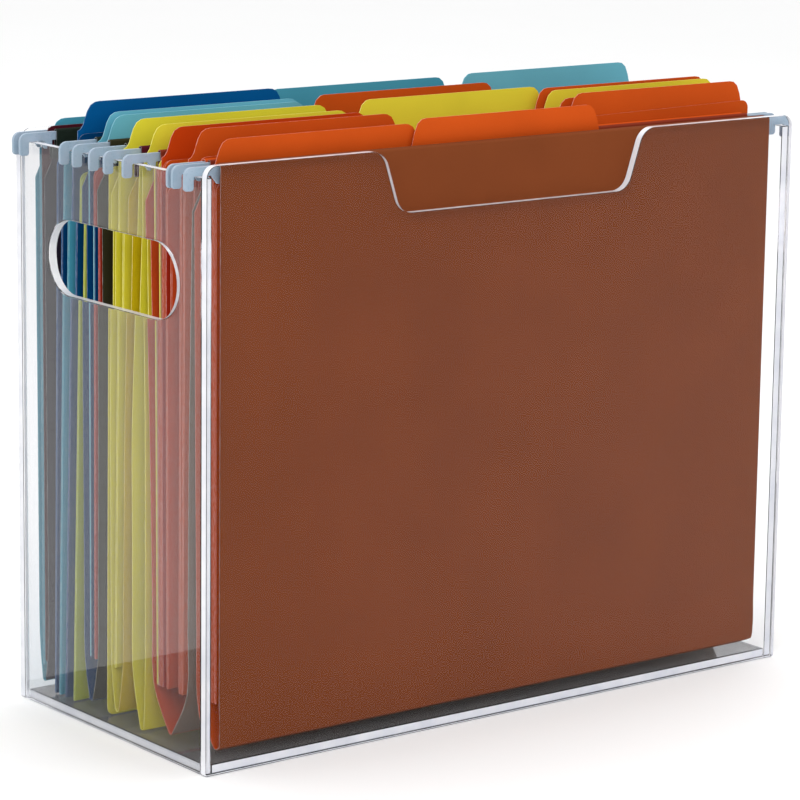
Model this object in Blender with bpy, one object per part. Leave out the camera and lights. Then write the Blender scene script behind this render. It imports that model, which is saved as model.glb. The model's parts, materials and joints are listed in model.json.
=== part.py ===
"""Desktop file sorter: an open-topped clear acrylic box whose side panels carry five hanging
folders, each a folded sheet on two hooked rails, with tabbed file folders in and between them.

Metres, +Z up. X runs across the wide front, Y from the front (-Y) to the back (+Y), and the
origin is the centre of the footprint, on the surface that the box stands on.
"""
import math

import bmesh
import bpy
from mathutils import Matrix

# Acrylic box
BOX_WIDTH = 0.316
BOX_DEPTH = 0.143
BOX_HEIGHT = 0.250
SIDE_HEIGHT = 0.245
ACRYLIC = 0.004
GLUE_GAP = 0.0003
TOP_CORNER_RADIUS = 0.005

# Finger dip in the front panel: half widths at the rim and at its floor, and the depth
DIP_RIM_HALF = 0.07025
DIP_FLOOR_HALF = 0.0615
DIP_DEPTH = 0.0265
DIP_RADIUS = 0.0085

# Handle slot in each side panel
SLOT_CENTRE_Y = -0.002
SLOT_CENTRE_Z = 0.1995
SLOT_LENGTH = 0.096
SLOT_RADIUS = 0.016
ARC_STEPS = 16
CORNER_STEPS = 6

# Hanging rail: a flat strip with a hook at each end
RAIL_THICKNESS = 0.0008
RAIL_TOP = 0.2490
RAIL_REST = SIDE_HEIGHT + 0.0003
RAIL_DEEP = 0.2385
RAIL_DEEP_HALF = 0.1440
HOOK_TIP = 0.1635
HOOK_INNER = 0.1590
HOOK_BOTTOM = 0.2395
HOOK_CORNER = 0.0030
HOOK_INSIDE_CORNER = 0.0010
HOOK_LEG_INNER_CORNER = 0.0008
HOOK_LEG_OUTER_CORNER = 0.0015
TOOTH_OUTER = 0.1515
TOOTH_POINT = 0.1490
TOOTH_INNER = 0.1475
TOOTH_BOTTOM = 0.2418

# Hanging sheet: its sleeve round each rail, its notched top corners and its fold
SHEET_THICKNESS = 0.0004
SLEEVE_HALF = 0.0009
SLEEVE_RISE = 0.0010
SLEEVE_SPRING = RAIL_TOP - 0.0003
FLAP_END = 0.2375
SHEET_HALF = 0.1495
SLEEVE_END_HALF = 0.1455
NOTCH_TOP = 0.2375
NOTCH_BOTTOM = 0.2300
MIDDLE = 0.130
TAPER_START = 0.026
FOLD_BOTTOM = 0.0082
SLEEVE_STEPS = 6

# Front cover leaf of the frontmost hanging folder: square but for a round lower right corner
COVER_LEFT = -0.1494
COVER_RIGHT = 0.1467
COVER_LEFT_CORNER = 0.0010
COVER_RIGHT_CORNER = 0.0060
COVER_CORNER_STEPS = (1.0, 0.6, 0.3, 0.1)

# File folder: two leaves of card joined by a fold, the rear one with a third-cut tab. A tab's side
# leans in up to its corner, more at the folder's own edge than next to a shoulder.
CARD = 0.0004
CARD_GAP = 0.0005
FILE_HALF = 0.1490
TAB_RISES = {"left": 0.0120, "centre": 0.0175, "right": 0.0175}
TAB_LEAN_AT_EDGE = 0.0054
TAB_LEAN_AT_SHOULDER = 0.0010
TAB_CORNER_HEIGHT = 0.6
TAB_CORNER_LEAN = 0.0008
TAB_CORNER = 0.0036
FRONT_LEAF_DROP = 0.0010
# One folder's front leaf stands above its rear leaf's shoulder: its drops at the left and the right
FRONT_LEAF_DROPS = {"orange_right_file": (-0.0040, -0.0086)}
# How far some folders stand to the right of the middle
SHIFTS = {
    "teal_left_file": 0.0035, "teal_front_file": 0.0035, "orange_centre_file": 0.0020,
    "yellow_right_file": 0.0030, "orange_right_file": 0.0030, "orange_front_file": 0.0015,
    "orange_mid_front_file": 0.0015,
}
TAB_SPANS = {"left": (-0.1490, -0.0410), "centre": (-0.0525, 0.0560), "right": (0.0412, 0.1490)}

# Each hanging folder: rail positions, then where its rear and front leaves stand at mid height,
# at the start of the taper and at the fold, all along Y from back to front
HANGING = {
    "hanging_1": {"rails": (0.0652, 0.0600), "middle": (0.0656, 0.0585),
                  "taper": (0.0652, 0.0580), "fold": (0.0640, 0.0595)},
    "hanging_2": {"rails": (0.0285, 0.0185), "middle": (0.0294, 0.0178),
                  "taper": (0.0290, 0.0188), "fold": (0.0262, 0.0222)},
    "hanging_3": {"rails": (0.0060, -0.0050), "middle": (0.0085, -0.0022),
                  "taper": (0.0082, -0.0005), "fold": (0.0058, 0.0025)},
    "hanging_4": {"rails": (-0.0190, -0.0510), "middle": (-0.0212, -0.0495),
                  "taper": (-0.0240, -0.0485), "fold": (-0.0340, -0.0385)},
    "hanging_5": {"rails": (-0.0545, -0.0630), "middle": (-0.0545, -0.0666),
                  "taper": (-0.0560, -0.0666), "fold": (-0.0610, -0.0650)},
}

# Each file folder: its holder, its tab, the height of its top, the height of its fold, and where
# its top and its fold stand along Y
FILES = {
    "teal_rear_file": ("hanging_1", "left", 0.2537, 0.0150, 0.0630, 0.0630),
    "blue_right_file": (None, "right", 0.2570, 0.0045, 0.0485, 0.0535),
    "teal_centre_file": (None, "centre", 0.2622, 0.0045, 0.0425, 0.0500),
    "blue_left_file": (None, "left", 0.2636, 0.0045, 0.0358, 0.0450),
    "lime_divider": (None, None, 0.2350, 0.0045, 0.0310, 0.0385),
    "teal_left_file": ("hanging_2", "left", 0.2600, 0.0270, 0.0264, 0.0270),
    "teal_right_file": ("hanging_2", "right", 0.2655, 0.0270, 0.0245, 0.0252),
    "teal_front_file": ("hanging_2", "left", 0.2590, 0.0270, 0.0226, 0.0234),
    "red_divider": ("hanging_2", None, 0.2380, 0.0270, 0.0207, 0.0216),
    "orange_centre_file": (None, "centre", 0.2628, 0.0045, 0.0110, 0.0137),
    "yellow_rear_file": ("hanging_3", "left", 0.2600, 0.0270, 0.0010, 0.0060),
    "yellow_centre_file": ("hanging_4", "centre", 0.2645, 0.0270, -0.0240, -0.0262),
    "orange_left_file": ("hanging_4", "left", 0.2597, 0.0270, -0.0262, -0.0279),
    "orange_rear_file": ("hanging_4", "right", 0.2642, 0.0270, -0.0284, -0.0297),
    "yellow_right_file": ("hanging_4", "right", 0.2632, 0.0270, -0.0306, -0.0315),
    "orange_divider": ("hanging_4", None, 0.2380, 0.0270, -0.0327, -0.0334),
    "orange_hidden_file": ("hanging_4", "right", 0.2612, 0.0270, -0.0432, -0.0422),
    "orange_middle_file": ("hanging_4", "left", 0.2612, 0.0270, -0.0457, -0.0441),
    "orange_right_file": ("hanging_4", "right", 0.2637, 0.0270, -0.0482, -0.0460),
    "orange_front_file": ("hanging_5", "left", 0.2583, 0.0270, -0.0584, -0.0590),
    "orange_mid_front_file": ("hanging_5", "centre", 0.2603, 0.0270, -0.0603, -0.0611),
}

# Single cards without a fold: the holder, the heights of the top and bottom, and their places along Y.
# The yellow insert stands against the front of the orange centre file and lifts with it.
SINGLE_CARDS = {
    "maroon_divider": ("hanging_1", 0.2510, 0.0150, 0.0616, 0.0616),
    "yellow_insert": (None, 0.2400, 0.0045, 0.0097, 0.0124),
}

# Yellow left file: it stands on the bottom panel between two hanging folders with its leaves apart.
# Each leaf's place along Y is given at its top, at mid height, at the start of the taper and at the fold
OPEN_FILE_TOP = 0.2593
OPEN_FILE_FRONT_TOP = 0.2468
OPEN_FILE_FOLD = 0.0047
OPEN_FILE_REAR = (-0.0134, -0.0072, -0.0074, -0.0135)
OPEN_FILE_FRONT = (-0.0152, -0.0168, -0.0168, -0.0157)
# The tab's sides: shares of its rise, and how far each is inset
OPEN_FILE_TAB_SIDE = ((1.0, 0.0095), (0.8, 0.0056), (0.375, 0.0034), (0.01, 0.0))

COLOURS = {
    "acrylic": (0.86, 0.88, 0.90), "rail": (0.62, 0.68, 0.74), "teal": (0.09, 0.34, 0.42),
    "blue": (0.01, 0.10, 0.26), "yellow": (0.72, 0.60, 0.04), "orange": (0.62, 0.11, 0.01),
    "red": (0.40, 0.03, 0.02), "lime": (0.55, 0.56, 0.12), "black": (0.03, 0.03, 0.02),
    "maroon": (0.10, 0.02, 0.03), "brown": (0.20, 0.07, 0.03),
}
SHEET_COLOURS = {"hanging_1": "maroon", "hanging_2": "black", "hanging_3": "black",
                 "hanging_4": "orange", "hanging_5": "brown"}


def make_material(name, colour, roughness, alpha=1.0):
    material = bpy.data.materials.new(name)
    material.use_nodes = True
    shader = material.node_tree.nodes["Principled BSDF"]
    shader.inputs["Base Color"].default_value = (*colour, 1.0)
    shader.inputs["Roughness"].default_value = roughness
    shader.inputs["Metallic"].default_value = 0.0
    shader.inputs["Alpha"].default_value = alpha
    return material


def make_object(name, vertices, faces, material, parent=None):
    """Makes a mesh object from points and faces, with every face turned outwards."""
    mesh = bpy.data.meshes.new(name)
    mesh.from_pydata(vertices, [], faces)
    shape = bmesh.new()
    shape.from_mesh(mesh)
    bmesh.ops.recalc_face_normals(shape, faces=shape.faces)
    shape.to_mesh(mesh)
    shape.free()
    mesh.materials.append(material)
    thing = bpy.data.objects.new(name, mesh)
    bpy.context.scene.collection.objects.link(thing)
    thing.parent = parent
    return thing


def make_empty(name):
    empty = bpy.data.objects.new(name, None)
    bpy.context.scene.collection.objects.link(empty)
    return empty


def arc(centre, radius, start, end, steps):
    """Points on an arc in a flat outline, with the angles in degrees."""
    points = []
    for step in range(steps + 1):
        angle = math.radians(start + (end - start) * step / steps)
        points.append((centre[0] + radius * math.cos(angle), centre[1] + radius * math.sin(angle)))
    return points


def prism(name, outline, low, high, place, material, parent=None):
    """Extrudes a flat outline from low to high; place turns (u, v, depth) into a 3-D point."""
    count = len(outline)
    vertices = [place(u, v, low) for u, v in outline] + [place(u, v, high) for u, v in outline]
    faces = [list(range(count)), list(range(count, 2 * count))]
    for first in range(count):
        second = (first + 1) % count
        faces.append([first, second, second + count, first + count])
    return make_object(name, vertices, faces, material, parent)


def upright(u, v, depth):
    """An outline drawn in XZ and extruded along Y."""
    return (u, depth, v)


def sideways(u, v, depth):
    """An outline drawn in YZ and extruded along X."""
    return (depth, u, v)


def flat(u, v, depth):
    """An outline drawn in XY and extruded along Z."""
    return (u, v, depth)


def rounded_corner(before, corner, after, radius, steps=CORNER_STEPS):
    """Points that round one corner of an outline with the given radius."""
    to_before = (before[0] - corner[0], before[1] - corner[1])
    to_after = (after[0] - corner[0], after[1] - corner[1])
    before_length = math.hypot(*to_before)
    after_length = math.hypot(*to_after)
    unit_before = (to_before[0] / before_length, to_before[1] / before_length)
    unit_after = (to_after[0] / after_length, to_after[1] / after_length)
    half_angle = math.acos(unit_before[0] * unit_after[0] + unit_before[1] * unit_after[1]) / 2
    reach = radius / math.tan(half_angle)
    bisector = (unit_before[0] + unit_after[0], unit_before[1] + unit_after[1])
    scale = radius / math.sin(half_angle) / math.hypot(*bisector)
    centre = (corner[0] + bisector[0] * scale, corner[1] + bisector[1] * scale)
    first = (corner[0] + unit_before[0] * reach, corner[1] + unit_before[1] * reach)
    last = (corner[0] + unit_after[0] * reach, corner[1] + unit_after[1] * reach)
    start = math.atan2(first[1] - centre[1], first[0] - centre[0])
    sweep = math.atan2(last[1] - centre[1], last[0] - centre[0]) - start
    sweep = (sweep + math.pi) % (2 * math.pi) - math.pi
    return arc(centre, radius, math.degrees(start), math.degrees(start + sweep), steps)


def round_outline(corners):
    """Builds an outline from (u, v, radius) corners, rounding those with a radius."""
    points = []
    for index, (u, v, radius) in enumerate(corners):
        before = corners[index - 1][:2]
        after = corners[(index + 1) % len(corners)][:2]
        if radius > 0:
            points += rounded_corner(before, (u, v), after, radius)
        else:
            points.append((u, v))
    return points


def mirrored(corners):
    """Adds the mirror image in X of an open chain of corners, to close an outline."""
    return corners + [(-u, v, radius) for u, v, radius in reversed(corners)]


def front_panel(material):
    half = BOX_WIDTH / 2
    floor = BOX_HEIGHT - DIP_DEPTH
    right_side = [
        (DIP_FLOOR_HALF, floor, DIP_RADIUS),
        (DIP_RIM_HALF, BOX_HEIGHT, DIP_RADIUS),
        (half, BOX_HEIGHT, TOP_CORNER_RADIUS),
        (half, 0.0, 0.0),
    ]
    outer_face = -BOX_DEPTH / 2
    outline = round_outline(mirrored(right_side))
    prism("front_panel", outline, outer_face, outer_face + ACRYLIC, upright, material)


def back_panel(material):
    half = BOX_WIDTH / 2
    outer_face = BOX_DEPTH / 2
    outline = round_outline(mirrored([(half, BOX_HEIGHT, TOP_CORNER_RADIUS), (half, 0.0, 0.0)]))
    prism("back_panel", outline, outer_face - ACRYLIC, outer_face, upright, material)


def slot_cutter():
    """A stadium-shaped bar that runs through both side panels."""
    reach = SLOT_LENGTH / 2 - SLOT_RADIUS
    outline = arc((SLOT_CENTRE_Y + reach, SLOT_CENTRE_Z), SLOT_RADIUS, -90, 90, ARC_STEPS)
    outline += arc((SLOT_CENTRE_Y - reach, SLOT_CENTRE_Z), SLOT_RADIUS, 90, 270, ARC_STEPS)
    cutter = prism("slot_cutter", outline, -BOX_WIDTH, BOX_WIDTH, sideways, None)
    cutter.hide_render = True
    cutter.display_type = "WIRE"
    return cutter


def side_panel(name, side, cutter, material):
    half_depth = BOX_DEPTH / 2 - ACRYLIC - GLUE_GAP
    outline = [(-half_depth, 0.0), (half_depth, 0.0), (half_depth, SIDE_HEIGHT),
               (-half_depth, SIDE_HEIGHT)]
    faces = sorted((side * BOX_WIDTH / 2, side * (BOX_WIDTH / 2 - ACRYLIC)))
    panel = prism(name, outline, faces[0], faces[1], sideways, material)
    cut = panel.modifiers.new("handle_slot", "BOOLEAN")
    cut.operation = "DIFFERENCE"
    cut.solver = "EXACT"
    cut.object = cutter


def bottom_panel(material):
    half_width = BOX_WIDTH / 2 - ACRYLIC - GLUE_GAP
    half_depth = BOX_DEPTH / 2 - ACRYLIC - GLUE_GAP
    outline = [(-half_width, -half_depth), (half_width, -half_depth),
               (half_width, half_depth), (-half_width, half_depth)]
    prism("bottom_panel", outline, 0.0, ACRYLIC, flat, material)


def hanging_rail(name, y, material, parent):
    """A flat strip whose hooks reach over the side panels, with a tooth inside each panel."""
    right_side = [
        (RAIL_DEEP_HALF, RAIL_DEEP, 0.0),
        (RAIL_DEEP_HALF, RAIL_REST, 0.0),
        (TOOTH_INNER, RAIL_REST, 0.0),
        (TOOTH_INNER, TOOTH_BOTTOM, 0.0),
        (TOOTH_POINT, TOOTH_BOTTOM, 0.0),
        (TOOTH_OUTER, RAIL_REST, 0.0),
        (HOOK_INNER, RAIL_REST, HOOK_INSIDE_CORNER),
        (HOOK_INNER, HOOK_BOTTOM, HOOK_LEG_INNER_CORNER),
        (HOOK_TIP, HOOK_BOTTOM, HOOK_LEG_OUTER_CORNER),
        (HOOK_TIP, RAIL_TOP, HOOK_CORNER),
    ]
    outline = round_outline(mirrored(right_side))
    half = RAIL_THICKNESS / 2
    prism(name, outline, y - half, y + half, upright, material, parent)


def sleeve(rail, outer_wall, flap_wall):
    """The stretch of a sheet that wraps a rail, from the end of its inner flap to its outer wall."""
    centre = (outer_wall + flap_wall) / 2
    half = (outer_wall - flap_wall) / 2
    points = [(flap_wall, FLAP_END)]
    for step in range(SLEEVE_STEPS + 1):
        angle = math.pi * (1 - step / SLEEVE_STEPS)
        points.append((centre + half * math.cos(angle), SLEEVE_SPRING + SLEEVE_RISE * math.sin(angle)))
    return points


def leaf(outer_wall, middle, taper, fold):
    """One side of a hanging sheet, from under its sleeve down to the fold."""
    def between(height):
        share = (NOTCH_TOP - height) / (NOTCH_TOP - MIDDLE)
        return outer_wall + (middle - outer_wall) * share
    return [(between(NOTCH_TOP), NOTCH_TOP), (between(NOTCH_BOTTOM), NOTCH_BOTTOM),
            (middle, MIDDLE), (taper, TAPER_START), (fold, FOLD_BOTTOM)]


def thicken(points, thickness):
    """Offsets an open chain of points to both sides by half the thickness."""
    left, right = [], []
    for index, (y, z) in enumerate(points):
        before = points[max(index - 1, 0)]
        after = points[min(index + 1, len(points) - 1)]
        into = (y - before[0], z - before[1]) if index else (after[0] - y, after[1] - z)
        out = (after[0] - y, after[1] - z) if index < len(points) - 1 else into
        into_length = math.hypot(*into)
        out_length = math.hypot(*out)
        along = (into[0] / into_length + out[0] / out_length, into[1] / into_length + out[1] / out_length)
        along_length = math.hypot(*along)
        normal = (-along[1] / along_length, along[0] / along_length)
        spread = normal[0] * -into[1] / into_length + normal[1] * into[0] / into_length
        offset = thickness / 2 / spread
        left.append((y + normal[0] * offset, z + normal[1] * offset))
        right.append((y - normal[0] * offset, z - normal[1] * offset))
    return left, right


def sheet_half_width(z):
    """Half the width of a hanging sheet at a height: narrower at its sleeves."""
    if z >= NOTCH_TOP:
        return SLEEVE_END_HALF
    if z <= NOTCH_BOTTOM:
        return SHEET_HALF
    share = (z - NOTCH_BOTTOM) / (NOTCH_TOP - NOTCH_BOTTOM)
    return SHEET_HALF + (SLEEVE_END_HALF - SHEET_HALF) * share


def corner_inset(radius, z):
    """How far a lower corner of the front cover leaf curves in at a height."""
    rise = min(z - FOLD_BOTTOM, radius)
    return radius - math.sqrt(radius ** 2 - (radius - rise) ** 2)


def cover_ends(z):
    """The front cover leaf's two ends at a height."""
    return COVER_LEFT + corner_inset(COVER_LEFT_CORNER, z), COVER_RIGHT - corner_inset(COVER_RIGHT_CORNER, z)


def strip_object(name, points, ends, thickness, material, parent):
    """A bent sheet: a chain of points across it, each with the sheet's two ends in X there."""
    one_side, other_side = thicken(points, thickness)
    vertices = []
    for (near_y, near_z), (far_y, far_z), (low, high) in zip(one_side, other_side, ends):
        vertices += [(low, near_y, near_z), (high, near_y, near_z),
                     (high, far_y, far_z), (low, far_y, far_z)]
    faces = [[0, 1, 2, 3]]
    last = 4 * (len(points) - 1)
    for start in range(0, last, 4):
        for side in range(4):
            following = (side + 1) % 4
            faces.append([start + side, start + following, start + following + 4, start + side + 4])
    faces.append([last, last + 1, last + 2, last + 3])
    make_object(name, vertices, faces, material, parent)


def open_file(name, material):
    """A file folder standing with its leaves apart, its left tab on the rear leaf."""
    top_y, middle, taper, fold = OPEN_FILE_REAR
    rise = TAB_RISES["left"]
    shoulder = OPEN_FILE_TOP - rise
    left, right = TAB_SPANS["left"]
    points, ends = [], []
    for share, inset in OPEN_FILE_TAB_SIDE:
        points.append((top_y, shoulder + rise * share))
        ends.append((left + inset, right - inset))
    for y, z in ((top_y, shoulder), (middle, MIDDLE), (taper, TAPER_START), (fold, OPEN_FILE_FOLD)):
        points.append((y, z))
        ends.append((-FILE_HALF, FILE_HALF))
    top_y, middle, taper, fold = OPEN_FILE_FRONT
    for y, z in ((fold, OPEN_FILE_FOLD), (taper, TAPER_START), (middle, MIDDLE),
                 (top_y, OPEN_FILE_FRONT_TOP)):
        points.append((y, z))
        ends.append((-FILE_HALF, FILE_HALF))
    strip_object(name, points, ends, CARD, material, None)


def single_card(name, layout, materials, holders):
    """A plain card without a fold or a tab."""
    holder, top, bottom, top_y, bottom_y = layout
    half = CARD / 2
    outline = [(top_y - half, top), (top_y + half, top),
               (bottom_y + half, bottom), (bottom_y - half, bottom)]
    material = materials[name.split("_")[0]]
    prism(name, outline, -FILE_HALF, FILE_HALF, sideways, material, holders.get(holder))


def hanging_sheet(name, layout, material, parent):
    """One sheet from the rear rail's sleeve, down, across the fold and up round the front rail."""
    rear_rail, front_rail = layout["rails"]
    rear_wall = rear_rail + SLEEVE_HALF
    front_wall = front_rail - SLEEVE_HALF
    rear = sleeve(rear_rail, rear_wall, rear_rail - SLEEVE_HALF)
    rear += leaf(rear_wall, layout["middle"][0], layout["taper"][0], layout["fold"][0])
    front = sleeve(front_rail, front_wall, front_rail + SLEEVE_HALF)
    front += leaf(front_wall, layout["middle"][1], layout["taper"][1], layout["fold"][1])
    points = rear + front[::-1]
    ends = [(-sheet_half_width(z), sheet_half_width(z)) for _, z in points]
    strip_object(name, points, ends, SHEET_THICKNESS, material, parent)


def cover_sheet(name, layout, material, parent):
    """The frontmost sheet, whose front leaf is a flat cover standing against the front panel."""
    rear_rail, front_rail = layout["rails"]
    rear_wall = rear_rail + SLEEVE_HALF
    cover = layout["middle"][1]
    rear = sleeve(rear_rail, rear_wall, rear_rail - SLEEVE_HALF)
    rear += leaf(rear_wall, layout["middle"][0], layout["taper"][0], layout["fold"][0])
    corner_heights = [FOLD_BOTTOM + COVER_RIGHT_CORNER * share for share in COVER_CORNER_STEPS]
    front = sleeve(front_rail, cover, front_rail + SLEEVE_HALF)
    front += [(cover, height) for height in corner_heights]
    front.append((layout["fold"][1], FOLD_BOTTOM))
    ends = [(-sheet_half_width(z), sheet_half_width(z)) for _, z in rear]
    ends += [cover_ends(z) for _, z in reversed(front)]
    strip_object(name, rear + front[::-1], ends, SHEET_THICKNESS, material, parent)


def tab_edge(span, shoulder, top):
    """The rear leaf's top edge from left to right: shoulder, rounded tab, shoulder."""
    left, right = span
    middle = (left + right) / 2
    rise = top - shoulder
    corners = []
    for x, inwards in ((left, 1), (right, -1)):
        at_edge = abs(abs(x) - FILE_HALF) < 1e-6
        lean = TAB_LEAN_AT_EDGE if at_edge else TAB_LEAN_AT_SHOULDER
        side = [(x, shoulder), (x + inwards * lean, shoulder + rise * TAB_CORNER_HEIGHT)]
        side += rounded_corner(side[1], (x + inwards * (lean + TAB_CORNER_LEAN), top), (middle, top),
                               TAB_CORNER)
        corners.append(side)
    points = corners[0] + corners[1][::-1]
    if left > -FILE_HALF + 1e-6:
        points.insert(0, (-FILE_HALF, shoulder))
    if right < FILE_HALF - 1e-6:
        points.append((FILE_HALF, shoulder))
    return points


def file_folder(name, tab, height, material, parent):
    """Two leaves of card joined by a fold along the bottom, made standing on the origin."""
    inner = CARD_GAP / 2
    outer = inner + CARD
    if tab:
        shoulder = height - TAB_RISES[tab]
        top = tab_edge(TAB_SPANS[tab], shoulder, height)
    else:
        shoulder = height
        top = [(-FILE_HALF, height), (FILE_HALF, height)]
    left_drop, right_drop = FRONT_LEAF_DROPS.get(name, (FRONT_LEAF_DROP, FRONT_LEAF_DROP))
    left_top, right_top = shoulder - left_drop, shoulder - right_drop
    rear_outer = [(-FILE_HALF, outer, 0.0)] + [(x, outer, z) for x, z in top] + [(FILE_HALF, outer, 0.0)]
    rear_inner = [(-FILE_HALF, inner, CARD)] + [(x, inner, z) for x, z in top] + [(FILE_HALF, inner, CARD)]
    front_outer = [(-FILE_HALF, -outer, 0.0), (-FILE_HALF, -outer, left_top),
                   (FILE_HALF, -outer, right_top), (FILE_HALF, -outer, 0.0)]
    front_inner = [(-FILE_HALF, -inner, CARD), (-FILE_HALF, -inner, left_top),
                   (FILE_HALF, -inner, right_top), (FILE_HALF, -inner, CARD)]
    vertices = rear_outer + rear_inner + front_outer + front_inner
    count = len(rear_outer)
    back, inside, front, lining = 0, count, 2 * count, 2 * count + 4
    faces = [list(range(back, inside)), list(range(inside, front)),
             list(range(front, lining)), list(range(lining, lining + 4))]
    for index in range(1, count - 2):
        faces.append([back + index, back + index + 1, inside + index + 1, inside + index])
    faces.append([front + 1, front + 2, lining + 2, lining + 1])
    faces.append([back, front, front + 3, inside - 1])
    faces.append([inside, front - 1, lining + 3, lining])
    faces.append([back, back + 1, inside + 1, inside, lining, lining + 1, front + 1, front])
    faces.append([inside - 1, inside - 2, front - 2, front - 1, lining + 3, lining + 2,
                  front + 2, front + 3])
    return make_object(name, vertices, faces, material, parent)


def place_file(name, layout, materials, holders):
    """Stands a file folder on its fold and leans it so that its top reaches its own place."""
    holder, tab, top, fold, top_y, fold_y = layout
    colour = name.split("_")[0]
    lean = math.atan2(fold_y - top_y, top - fold)
    height = (top - fold) / math.cos(lean)
    folder = file_folder(name, tab, height, materials[colour], holders.get(holder))
    place = Matrix.Translation((SHIFTS.get(name, 0.0), fold_y, fold))
    folder.matrix_world = place @ Matrix.Rotation(lean, 4, "X")


def main():
    for thing in list(bpy.data.objects):
        bpy.data.objects.remove(thing)
    materials = {}
    for name, colour in COLOURS.items():
        clear = name in ("acrylic", "rail")
        materials[name] = make_material(name, colour, 0.08 if clear else 0.65, 0.3 if clear else 1.0)

    front_panel(materials["acrylic"])
    back_panel(materials["acrylic"])
    cutter = slot_cutter()
    side_panel("left_panel", -1, cutter, materials["acrylic"])
    side_panel("right_panel", 1, cutter, materials["acrylic"])
    bottom_panel(materials["acrylic"])

    holders = {}
    for name, layout in HANGING.items():
        holder = make_empty(name)
        holders[name] = holder
        rear_rail, front_rail = layout["rails"]
        hanging_rail(f"{name}_rear_rail", rear_rail, materials["rail"], holder)
        hanging_rail(f"{name}_front_rail", front_rail, materials["rail"], holder)
        make_sheet = cover_sheet if name == "hanging_5" else hanging_sheet
        make_sheet(f"{name}_sheet", layout, materials[SHEET_COLOURS[name]], holder)

    for name, layout in FILES.items():
        place_file(name, layout, materials, holders)
    for name, layout in SINGLE_CARDS.items():
        single_card(name, layout, materials, holders)
    open_file("yellow_left_file", materials["yellow"])


main()
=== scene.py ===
"""Looks of the desktop file sorter: clear acrylic panels, dyed card folders and hooked rails.

Each folder and sheet is a flat card, cut to its outline, that is then bent along the path that
its CAD solid follows. All lengths are metres, in the frame's own axes.
"""

import json
import math

import bmesh
import bpy
from mathutils import Matrix, Vector, noise


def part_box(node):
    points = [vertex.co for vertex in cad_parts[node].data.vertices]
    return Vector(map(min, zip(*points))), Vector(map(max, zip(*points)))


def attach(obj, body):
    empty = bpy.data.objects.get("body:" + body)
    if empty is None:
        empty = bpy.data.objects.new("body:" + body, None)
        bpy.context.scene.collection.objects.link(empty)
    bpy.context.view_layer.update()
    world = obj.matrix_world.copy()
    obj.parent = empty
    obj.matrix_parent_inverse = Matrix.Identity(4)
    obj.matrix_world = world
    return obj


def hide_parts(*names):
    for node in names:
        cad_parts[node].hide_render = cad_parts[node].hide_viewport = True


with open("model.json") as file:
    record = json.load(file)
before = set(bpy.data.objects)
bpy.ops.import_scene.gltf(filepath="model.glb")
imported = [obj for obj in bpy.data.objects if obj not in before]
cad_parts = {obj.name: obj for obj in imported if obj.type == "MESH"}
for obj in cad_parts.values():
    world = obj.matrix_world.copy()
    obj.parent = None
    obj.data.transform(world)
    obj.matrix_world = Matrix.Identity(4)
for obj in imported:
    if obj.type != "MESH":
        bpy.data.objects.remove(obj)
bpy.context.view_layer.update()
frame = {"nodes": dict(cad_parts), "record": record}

# Camera: where it stands, its turn to the right of +Y, its tilt down and its roll, in radians
CAMERA_PLACE = (-0.93856, -1.20727, 0.44121)
CAMERA_TURN = 0.65786
CAMERA_TILT = 0.20319
CAMERA_ROLL = 0.01332
CAMERA_LENS = 159.07
CAMERA_SENSOR = 36.0

# Card
CARD = 0.0004
CARD_GAP = 0.0005
TAB_RISES = {"left": 0.0120, "centre": 0.0175, "right": 0.0175}
FRONT_LEAF_DROP = 0.0012
LEAF_CORNER = 0.0035
GRID_STEP = 0.0120
CURVE_STEP = 0.0100
FOLD_STEPS = 6
TOLERANCE = 1e-6
SHARP_ANGLE = math.radians(40)
CARD_RIPPLE = 0.00025
SINGLE_RIPPLE = 0.0001
RIPPLE_RATE = (9.0, 7.0, 3.7)
# A tab's side, from the folder's shoulder up to the tab's flat top: (inset, share of its rise)
TAB_SIDE = [(0.0, 0.0), (0.0014, 0.06), (0.0026, 0.20), (0.0035, 0.42), (0.0046, 0.67),
            (0.0062, 0.88), (0.0084, 0.98), (0.0105, 1.0)]
TAB_SPANS = {"left": (-0.1490, -0.0410), "centre": (-0.0525, 0.0560), "right": (0.0412, 0.1490)}

# The yellow file that stands with its leaves apart
OPEN_HEIGHTS = (0.235, 0.200, 0.165, 0.130, 0.090, 0.055, 0.030)
OPEN_CORNER = 0.0060
OPEN_RIPPLE = 0.0003
OPEN_SEED = 33
END_MARGIN = 0.0020
OPEN_FRONT_FORWARD = 0.0003
OPEN_FRONT_DROP = 0.0005

# Hanging sheets
SLEEVE_HALF = 0.0009
SLEEVE_STEPS = 10
FLAP_LENGTH = 0.0115
SLEEVE_END_HALF = 0.1455
NOTCH_START = 0.0110
NOTCH_END = 0.0190
SLEEVE_RISE = 0.0010
LEAF_HEIGHTS = (0.2375, 0.2300, 0.200, 0.165, 0.130, 0.090, 0.055, 0.028)
TIP_HEIGHT = 0.0110
FOLD_HALF = 0.0012
FOLD_RISE = 0.0006
SHEET_RIPPLE = 0.0003
SHEET_RIPPLE_RATE = (8.0, 6.0, 5.1)
# A sheet's ripple fades out at these two heights, and a solid's wall faces within WALL_MERGE are one
RIPPLE_TOP = 0.232
RIPPLE_BOTTOM = 0.010
WALL_MERGE = 0.00008
COVERED = "hanging_5"
# The cover leaf's two sides, the radius of its lower corner at each, and its foot above the fold
COVER_SIDES = ((-0.1494, 0.0010), (0.1467, 0.0060))
COVER_FOOT = 0.0004
COVER_TOP_CORNER = 0.0040
COVER_STRAIGHT_FOOT = 0.0020

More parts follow.
